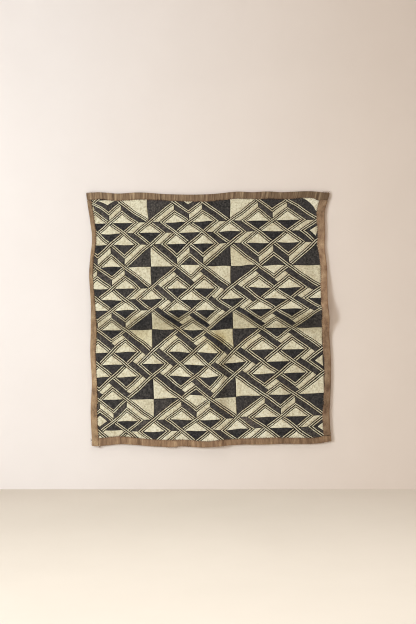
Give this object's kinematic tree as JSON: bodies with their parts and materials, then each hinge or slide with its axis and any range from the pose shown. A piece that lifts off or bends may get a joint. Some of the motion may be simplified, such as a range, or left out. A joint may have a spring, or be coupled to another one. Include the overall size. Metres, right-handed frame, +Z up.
{
  "type": "kuba raffia cloth",
  "caption": "Square raffia wall cloth with a raised cut-pile interlace of bands and diamonds in black and cream, bound in brown, with soft old folds, hung from its top edge.",
  "frame": {"origin": "middle of the top edge, on the plane of the wall it hangs against", "axes": "+X to the right as seen from the front, +Z up, -Y out of the wall towards the viewer"},
  "size_m": [0.58, 0.0185, 0.6055],
  "materials": {
    "pile_cloth": "matte raffia cut pile in cream and black on a plain-woven raffia ground",
    "binding_raffia": "matte brown woven raffia, faintly striped crosswise"
  },
  "bodies": {
    "root": {"panel": "pile_cloth", "binding_top": "binding_raffia", "binding_bottom": "binding_raffia", "binding_left": "binding_raffia", "binding_right": "binding_raffia"}
  },
  "joints": []
}
